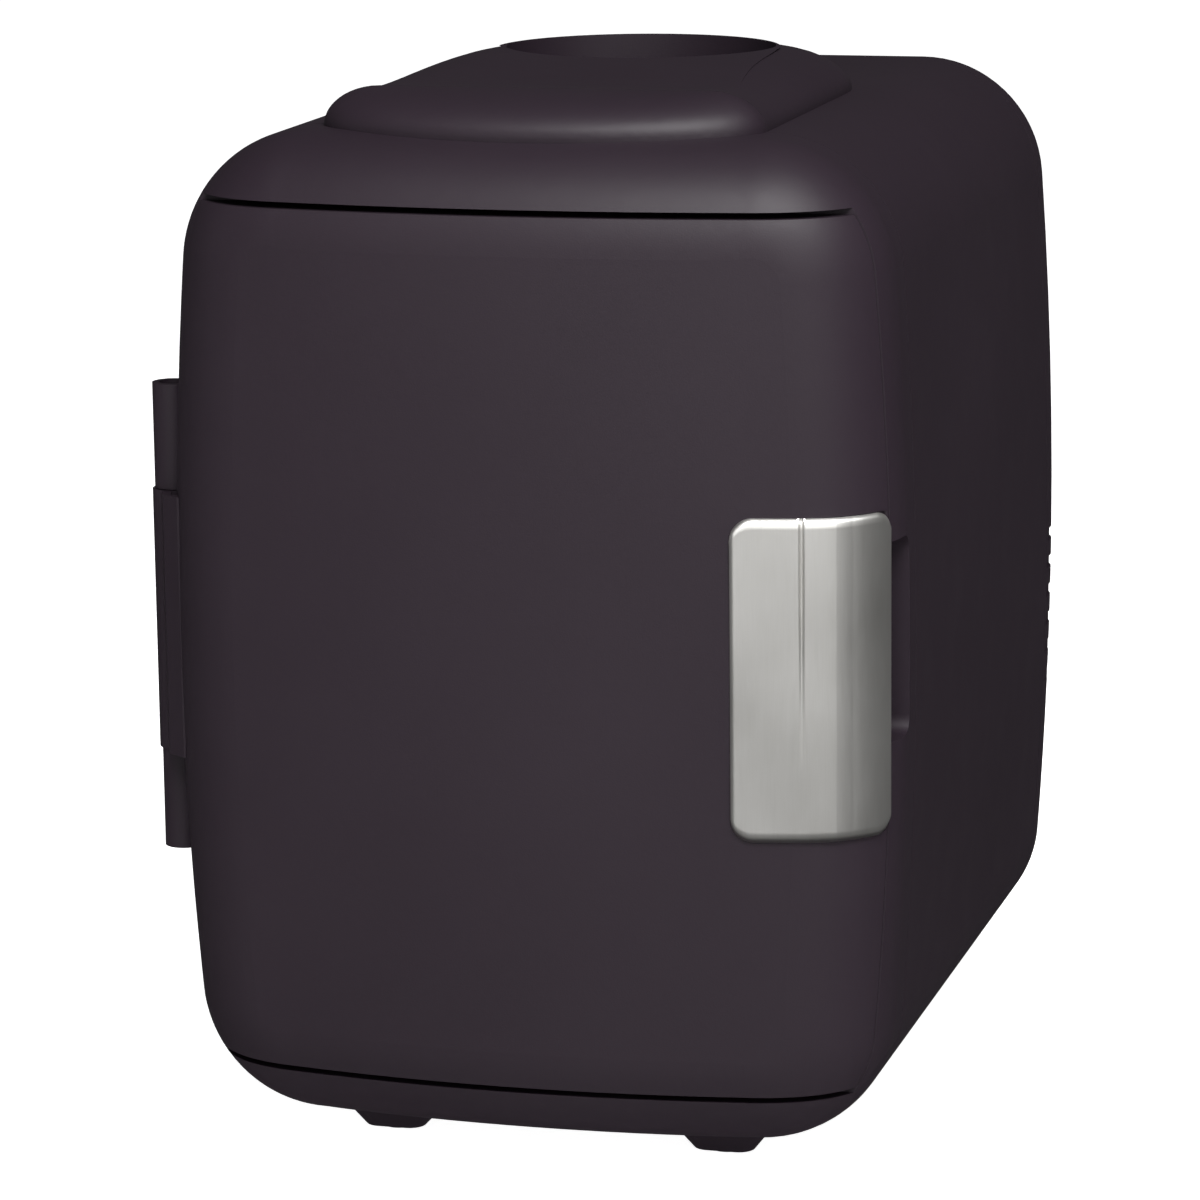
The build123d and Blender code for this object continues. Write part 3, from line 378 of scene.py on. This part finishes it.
clear, clear_shader, place = new_material("clear_styrene")
rub = place.stretch(6.0, 1.0, 1.0).noise(160.0, 6.0).ramp(0.5, 0.75)
cloud = place.noise(20.0)
feed(
    clear_shader,
    Base_Color=cloud.mix((0.80, 0.86, 0.89, 1), (0.88, 0.91, 0.93, 1)),
    Roughness=0.06 + rub * 0.16 + cloud * 0.03,
    Normal=place.node(
        "ShaderNodeBump",
        {},
        {"Height": rub, "Distance": 0.00002, "Strength": 0.25},
    ),
)
clear_shader.inputs["Transmission Weight"].default_value = 0.82
clear_shader.inputs["IOR"].default_value = 1.49
dress(clear, "shelf", "door_bin")

# ---------------------------------------------------------------------------
# Foam. Polyurethane poured between the shells: cream, with open bubbles.
# ---------------------------------------------------------------------------

foam, foam_shader, place = new_material("poured_foam")
cells = place.node("ShaderNodeTexVoronoi", {}, {"Vector": place, "Scale": 900.0})
shade = place.noise(30.0)
feed(
    foam_shader,
    Base_Color=(shade * 0.7 + cells * 0.3).mix((0.72, 0.62, 0.36, 1), (0.86, 0.79, 0.55, 1)),
    Roughness=0.85 + shade * 0.1,
    Normal=place.node(
        "ShaderNodeBump",
        {},
        {"Height": cells, "Distance": 0.0004, "Strength": 0.8},
    ),
)
dress(foam, "body_foam", "door_foam")

# ---------------------------------------------------------------------------
# Rubber. The door seal, the module's gasket and the foot pads are soft black
# rubber with a bloom of dust.
# ---------------------------------------------------------------------------

rubber, rubber_shader, place = new_material("soft_rubber")
bloom = place.noise(70.0, 5.0).ramp(0.45, 0.8)
pores = place.noise(1800.0, 2.0)
feed(
    rubber_shader,
    Base_Color=(bloom * 0.8).mix((0.022, 0.022, 0.024, 1), (0.075, 0.073, 0.070, 1)),
    Roughness=0.62 + bloom * 0.2 + pores * 0.05,
    Normal=place.node(
        "ShaderNodeBump",
        {},
        {"Height": pores, "Distance": 0.00005, "Strength": 0.6},
    ),
)
dress(rubber, "door_seal", "module_gasket", "foot_pads")

# ---------------------------------------------------------------------------
# Steel. The hinge pin and the keeper band of the magnets, zinc plated and
# lightly drawn along their length.
# ---------------------------------------------------------------------------

steel, steel_shader, place = new_material("zinc_steel")
spangle = place.node("ShaderNodeTexVoronoi", {}, {"Vector": place, "Scale": 420.0}, 1)
drawn = place.stretch(1.0, 1.0, 0.05).noise(2400.0, 2.0)
tint = place.noise(120.0)
feed(
    steel_shader,
    Base_Color=(tint * 0.6 + drawn * 0.4).mix((0.42, 0.42, 0.43, 1), (0.62, 0.61, 0.58, 1)),
    Roughness=0.30 + drawn * 0.14 + tint * 0.08,
    Normal=place.node(
        "ShaderNodeBump",
        {},
        {"Height": drawn + tint, "Distance": 0.00002, "Strength": 0.4},
    ),
)
steel_shader.inputs["Metallic"].default_value = 1.0
dress(steel, "hinge_pin", "keeper_frame")

# ---------------------------------------------------------------------------
# Aluminium. Extruded and sawn heat sinks and the spacer between the plates,
# with die lines along the fins and a soft oxide bloom.
# ---------------------------------------------------------------------------

aluminium, alu_shader, place = new_material("extruded_aluminium")
die = place.stretch(1.0, 1.0, 0.03).noise(1800.0, 3.0)
oxide = place.noise(45.0, 5.0)
feed(
    alu_shader,
    Base_Color=(oxide * 0.7 + die * 0.3).mix((0.60, 0.61, 0.62, 1), (0.76, 0.77, 0.78, 1)),
    Roughness=0.32 + oxide * 0.16 + die * 0.08,
    Normal=place.node(
        "ShaderNodeBump",
        {},
        {"Height": die, "Distance": 0.00003, "Strength": 0.5},
    ),
)
alu_shader.inputs["Metallic"].default_value = 1.0
dress(aluminium, "cold_sink", "hot_sink", "spacer_block")

# ---------------------------------------------------------------------------
# Module and magnets. Two alumina plates, off-white and faintly speckled; the
# magnets are strips of bonded ferrite.
# ---------------------------------------------------------------------------

ceramic, ceramic_shader, place = new_material("alumina")
speck = place.noise(900.0, 4.0).ramp(0.35, 0.7)
tone = place.noise(60.0)
feed(
    ceramic_shader,
    Base_Color=(speck * 0.5 + tone * 0.5).mix((0.70, 0.69, 0.64, 1), (0.86, 0.86, 0.83, 1)),
    Roughness=0.35 + speck * 0.12 + tone * 0.06,
)
dress(ceramic, "peltier_module")

ferrite, ferrite_shader, place = new_material("bonded_ferrite")
grit = place.noise(1400.0, 4.0)
tone = place.noise(80.0)
feed(
    ferrite_shader,
    Base_Color=(grit * 0.5 + tone * 0.5).mix((0.055, 0.042, 0.036, 1), (0.12, 0.095, 0.085, 1)),
    Roughness=0.55 + grit * 0.2,
    Normal=place.node(
        "ShaderNodeBump",
        {},
        {"Height": grit, "Distance": 0.00004, "Strength": 0.6},
    ),
)
dress(ferrite, "seal_magnets")

# ---------------------------------------------------------------------------
# Black fittings. Fan housings, sockets, switch and bezel are glass-filled nylon,
# satin black with a faint flow pattern.
# ---------------------------------------------------------------------------

nylon, nylon_shader, place = new_material("black_nylon")
flow = place.stretch(1.0, 1.0, 3.0).noise(60.0, 5.0)
fibre = place.noise(2200.0, 2.0)
feed(
    nylon_shader,
    Base_Color=(flow * 0.6 + fibre * 0.4).mix((0.014, 0.014, 0.015, 1), (0.036, 0.036, 0.038, 1)),
    Roughness=0.38 + flow * 0.12 + fibre * 0.08,
    Normal=place.node(
        "ShaderNodeBump",
        {},
        {"Height": fibre, "Distance": 0.00003, "Strength": 0.5},
    ),
)
dress(nylon, "inner_fan_frame", "rear_fan_frame")
dress(nylon, "mains_inlet", "dc_socket", "switch_bezel", "power_rocker")

# ---------------------------------------------------------------------------
# Boards. Green lacquered glass-fibre boards with copper tracks showing through
# the lacquer and dark moulded parts soldered on.
# ---------------------------------------------------------------------------

board, board_shader, place = new_material("circuit_board")
BLACK, WHITE = (0, 0, 0, 1), (1, 1, 1, 1)
brick = {"Scale": 160.0, "Mortar Size": 0.03, "Color1": BLACK, "Color2": BLACK, "Mortar": WHITE}
tracks = place.node("ShaderNodeTexBrick", {"offset": 0.37}, {"Vector": place, **brick})
weave = place.noise(700.0, 3.0)
feed(
    board_shader,
    Base_Color=(tracks * 0.7 + weave * 0.3).mix((0.010, 0.075, 0.030, 1), (0.060, 0.22, 0.085, 1)),
    Roughness=0.28 + weave * 0.2,
    Normal=place.node(
        "ShaderNodeBump",
        {},
        {"Height": tracks, "Distance": 0.00005, "Strength": 0.6},
    ),
)
dress(board, "control_board", "power_supply")

# ---------------------------------------------------------------------------
# Screws. Zinc-plated pan-head screws with a cross recess and a rolled thread,
# one set for the back cover, the fans, the sinks and the boards.
# ---------------------------------------------------------------------------

COLLAR_WIDE, COLLAR_HIGH = 0.82, 1.18
SLOT_LONG, SLOT_WIDE, SLOT_LEVEL = 1.15, 0.24, 1.1
CORE, THREAD_OUT, THREAD_THICK = 0.86, 0.9, 0.14
THREAD_TURNS, THREAD_LONG, THREAD_LOW = 9.0, 0.9, -0.95
HEAD_SIDES, SHANK_SIDES = 32, 20


def screw_tree():
    """Geometry Nodes that put a screw, head at the point and shank along +Z below it, on each point."""
    tree = bpy.data.node_groups.new("screws", "GeometryNodeTree")
    tree.interface.new_socket("Geometry", in_out="OUTPUT", socket_type="NodeSocketGeometry")
    tree.interface.new_socket("Geometry", in_out="INPUT", socket_type="NodeSocketGeometry")
    for name in ("Head Radius", "Head Height", "Shank Radius", "Shank Length"):
        tree.interface.new_socket(name, in_out="INPUT", socket_type="NodeSocketFloat")
    tree.interface.new_socket("Turn", in_out="INPUT", socket_type="NodeSocketVector")
    tree.interface.new_socket("Finish", in_out="INPUT", socket_type="NodeSocketMaterial")
    make = Wire(tree)
    enter = make.node("NodeGroupInput").socket.node.outputs
    size = {socket.name: Wire(tree, socket) for socket in enter}

    head_radius, head_height = size["Head Radius"], size["Head Height"]
    shank_radius, shank_length = size["Shank Radius"], size["Shank Length"]

    def raised(geometry, level):
        shift = make.node("ShaderNodeCombineXYZ", {}, {"Z": level})
        return make.node("GeometryNodeTransform", {}, {"Geometry": geometry, "Translation": shift})

    def cylinder(radius, depth, middle, sides):
        sizes = {"Vertices": sides, "Radius": radius, "Depth": depth}
        return raised(make.node("GeometryNodeMeshCylinder", {}, sizes), middle)

    collar_height = head_height * COLLAR_HIGH
    head = cylinder(head_radius, head_height, head_height * 0.5, HEAD_SIDES)
    collar = cylinder(head_radius * COLLAR_WIDE, collar_height, collar_height * 0.5, HEAD_SIDES)
    shank = cylinder(shank_radius * CORE, shank_length, shank_length * -0.5, SHANK_SIDES)
    slots = []
    for along, across in ((SLOT_LONG, SLOT_WIDE), (SLOT_WIDE, SLOT_LONG)):
        sides = {"X": head_radius * along, "Y": head_radius * across, "Z": head_height}
        span = make.node("ShaderNodeCombineXYZ", {}, sides)
        slot = make.node("GeometryNodeMeshCube", {}, {"Size": span})
        slots.append(raised(slot, head_height * SLOT_LEVEL))
    join = tree.nodes.new("GeometryNodeJoinGeometry")
    for part in (head, collar):
        tree.links.new(part.socket, join.inputs[0])
    cut = tree.nodes.new("GeometryNodeMeshBoolean")
    cut.operation = "DIFFERENCE"
    tree.links.new(join.outputs[0], cut.inputs[0])
    for slot in slots:
        tree.links.new(slot.socket, cut.inputs[1])
    winding = shank_radius * THREAD_OUT
    sizes = {"Resolution": 16, "Rotations": THREAD_TURNS, "Start Radius": winding}
    sizes.update({"End Radius": winding, "Height": shank_length * THREAD_LONG})
    thread = raised(make.node("GeometryNodeCurveSpiral", {}, sizes), shank_length * THREAD_LOW)
    sizes = {"Resolution": 4, "Radius": shank_radius * THREAD_THICK}
    ridge = make.node("GeometryNodeCurvePrimitiveCircle", {}, sizes)
    coil = make.node("GeometryNodeCurveToMesh", {}, {"Curve": thread, "Profile Curve": ridge})
    whole = tree.nodes.new("GeometryNodeJoinGeometry")
    for part in (Wire(tree, cut.outputs[0]), shank, coil):
        tree.links.new(part.socket, whole.inputs[0])
    placed = make.node(
        "GeometryNodeInstanceOnPoints",
        {},
        {"Points": size["Geometry"], "Instance": Wire(tree, whole.outputs[0]), "Rotation": size["Turn"]},
    )
    real = make.node("GeometryNodeRealizeInstances", {}, {"Geometry": placed})
    painted = make.node("GeometryNodeSetMaterial", {}, {"Geometry": real, "Material": size["Finish"]})
    leave = tree.nodes.new("NodeGroupOutput")
    tree.links.new(painted.socket, leave.inputs[0])
    return tree


def plain_mesh(holder, name):
    """The evaluated result of an object's modifiers as a mesh of its own."""
    evaluated = holder.evaluated_get(bpy.context.evaluated_depsgraph_get())
    mesh = bpy.data.meshes.new_from_object(evaluated)
    mesh.name = name
    return mesh


def grown(name, points, tree, values):
    """An object made by a Geometry Nodes tree on some points, as a plain mesh."""
    seeds = bpy.data.meshes.new(name)
    seeds.from_pydata(points, [], [])
    made = bpy.data.objects.new(name, seeds)
    bpy.context.scene.collection.objects.link(made)
    modifier = made.modifiers.new("grow", "NODES")
    modifier.node_group = tree
    for item in tree.interface.items_tree:
        if item.in_out == "INPUT" and item.name in values:
            modifier[item.identifier] = values[item.name]
    mesh = plain_mesh(made, name)
    made.modifiers.clear()
    made.data = mesh
    return made


screws = screw_tree()
TO_BACK = (radians(-90), 0, 0)
TO_FRONT = (radians(90), 0, 0)
UPWARDS = (0, 0, 0)


def screw_set(node, grid, seat, head, shank, turn):
    """Screws in place of a CAD node, on a grid of (spot, spot) in the plane across their axis."""
    points = []
    for first in grid[0]:
        for second in grid[1]:
            points.append((first, second, seat) if turn == UPWARDS else (first, seat, second))
    values = {"Head Radius": head[0], "Head Height": head[1], "Shank Radius": shank[0],
              "Shank Length": shank[1], "Turn": turn, "Finish": steel}
    piece = grown(f"{node}_threaded", points, screws, values)
    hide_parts(node)
    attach(piece, "casing")


def corner_axes(node, head_radius):
    """The two coordinates across Y of the four screws in a CAD node, from its box."""
    low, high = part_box(node)
    return ((low.x + head_radius, high.x - head_radius), (low.z + head_radius, high.z - head_radius))


# Head radius, head height and shank radius of each set, and the side its heads are on.
SCREWS = {
    "cover_screws": (0.0030, 0.0020, 0.0015, "high"),
    "rear_fan_screws": (0.0029, 0.0018, 0.0015, "high"),
    "clamp_screws": (0.0029, 0.0020, 0.0015, "high"),
    "fan_cover_screws": (0.0024, 0.0017, 0.0012, "low"),
    "inner_fan_screws": (0.0024, 0.0013, 0.0012, "low"),
    "board_screws": (0.0020, 0.0013, 0.0010, "low"),
}
for name, (radius, height, shank, side) in SCREWS.items():
    low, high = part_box(name)
    tall = high.y - low.y
    proud = height * COLLAR_HIGH
    seat = high.y - proud if side == "high" else low.y + proud
    turn = TO_BACK if side == "high" else TO_FRONT
    reach = tall - height * 1.2
    screw_set(name, corner_axes(name, radius), seat, (radius, height), (shank, reach), turn)

SUPPLY_HEAD = (0.0020, 0.0013)
SUPPLY_SHANK = 0.0010
SUPPLY_PROUD = 0.0015
low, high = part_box("supply_screws")
radius = SUPPLY_HEAD[0]
grid = ((low.x + radius, high.x - radius), (low.y + radius, high.y - radius))
shank = (SUPPLY_SHANK, high.z - low.z - 0.0016)
screw_set("supply_screws", grid, high.z - SUPPLY_PROUD, SUPPLY_HEAD, shank, UPWARDS)

# ---------------------------------------------------------------------------
# Fan wheels. One moulding each: a hub cap and swept, cambered blades, in black
# glass-filled nylon, pushed on the motor's shaft.
# ---------------------------------------------------------------------------


STEPS = 12
ROOT_SUNK = 0.96
TIP_MARGIN = 0.0004
SHAFT_BORE = 0.0017
WALL = 0.0009


def fan_wheel(node, body, hub_radius, blades):
    """A fan wheel in the room of a CAD node, turning about Y."""
    low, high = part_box(node)
    middle = (low + high) / 2
    tip = (high.x - low.x) / 2
    deep = high.y - low.y
    root = hub_radius * ROOT_SUNK
    mesh = bpy.data.meshes.new(f"{node}_moulding")
    wheel = bmesh.new()
    for blade in range(blades):
        base = 2 * pi * blade / blades
        grid = []
        for ring in range(STEPS + 1):
            out = ring / STEPS
            radius = root + (tip - TIP_MARGIN - root) * out
            line = []
            for step in range(STEPS + 1):
                chord = step / STEPS - 0.5
                width = (0.80 - 0.12 * out) * 2 * pi / blades
                turn = base + chord * width + 0.22 * out**2
                camber = 0.10 * deep * (1 - 4 * chord**2)
                pitch = (0.84 - 0.22 * out) * deep
                line.append(Vector((radius * cos(turn), -chord * pitch + camber, radius * sin(turn))))
            grid.append(line)
        rings = [[wheel.verts.new(middle + spot) for spot in line] for line in grid]
        for inner_line, outer_line in zip(rings, rings[1:]):
            for step in range(STEPS):
                outer_pair = (outer_line[step], outer_line[step + 1])
                wheel.faces.new((inner_line[step], *outer_pair, inner_line[step + 1]))
    profile = (
        (SHAFT_BORE, 0.5),
        (SHAFT_BORE, -0.40),
        (hub_radius * 0.80, -0.40),
        (hub_radius * 0.93, -0.44),
        (hub_radius, -0.36),
        (hub_radius, 0.5),
        (SHAFT_BORE, 0.5),
    )
    around = 72
    lathe = []
    for radius, level in profile:
        turns = [2 * pi * step / around for step in range(around)]
        circle = [Vector((radius * cos(t), level * deep, radius * sin(t))) for t in turns]
        lathe.append([wheel.verts.new(middle + spot) for spot in circle])
    for inner_line, outer_line in zip(lathe, lathe[1:]):
        for step in range(around):
            after = (step + 1) % around
            outer_pair = (outer_line[after], outer_line[step])
            wheel.faces.new((inner_line[step], inner_line[after], *outer_pair))
    bmesh.ops.remove_doubles(wheel, verts=wheel.verts, dist=1e-7)
    bmesh.ops.recalc_face_normals(wheel, faces=wheel.faces)
    wheel.to_mesh(mesh)
    wheel.free()
    mesh.materials.append(nylon)
    piece = bpy.data.objects.new(f"{node}_moulding", mesh)
    bpy.context.scene.collection.objects.link(piece)
    thick = piece.modifiers.new("skin", "SOLIDIFY")
    thick.thickness = WALL
    thick.offset = 0
    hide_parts(node)
    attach(piece, body)


fan_wheel("rear_impeller", "rear_fan_wheel", 0.015, 7)
fan_wheel("inner_impeller", "inner_fan_wheel", 0.010, 7)
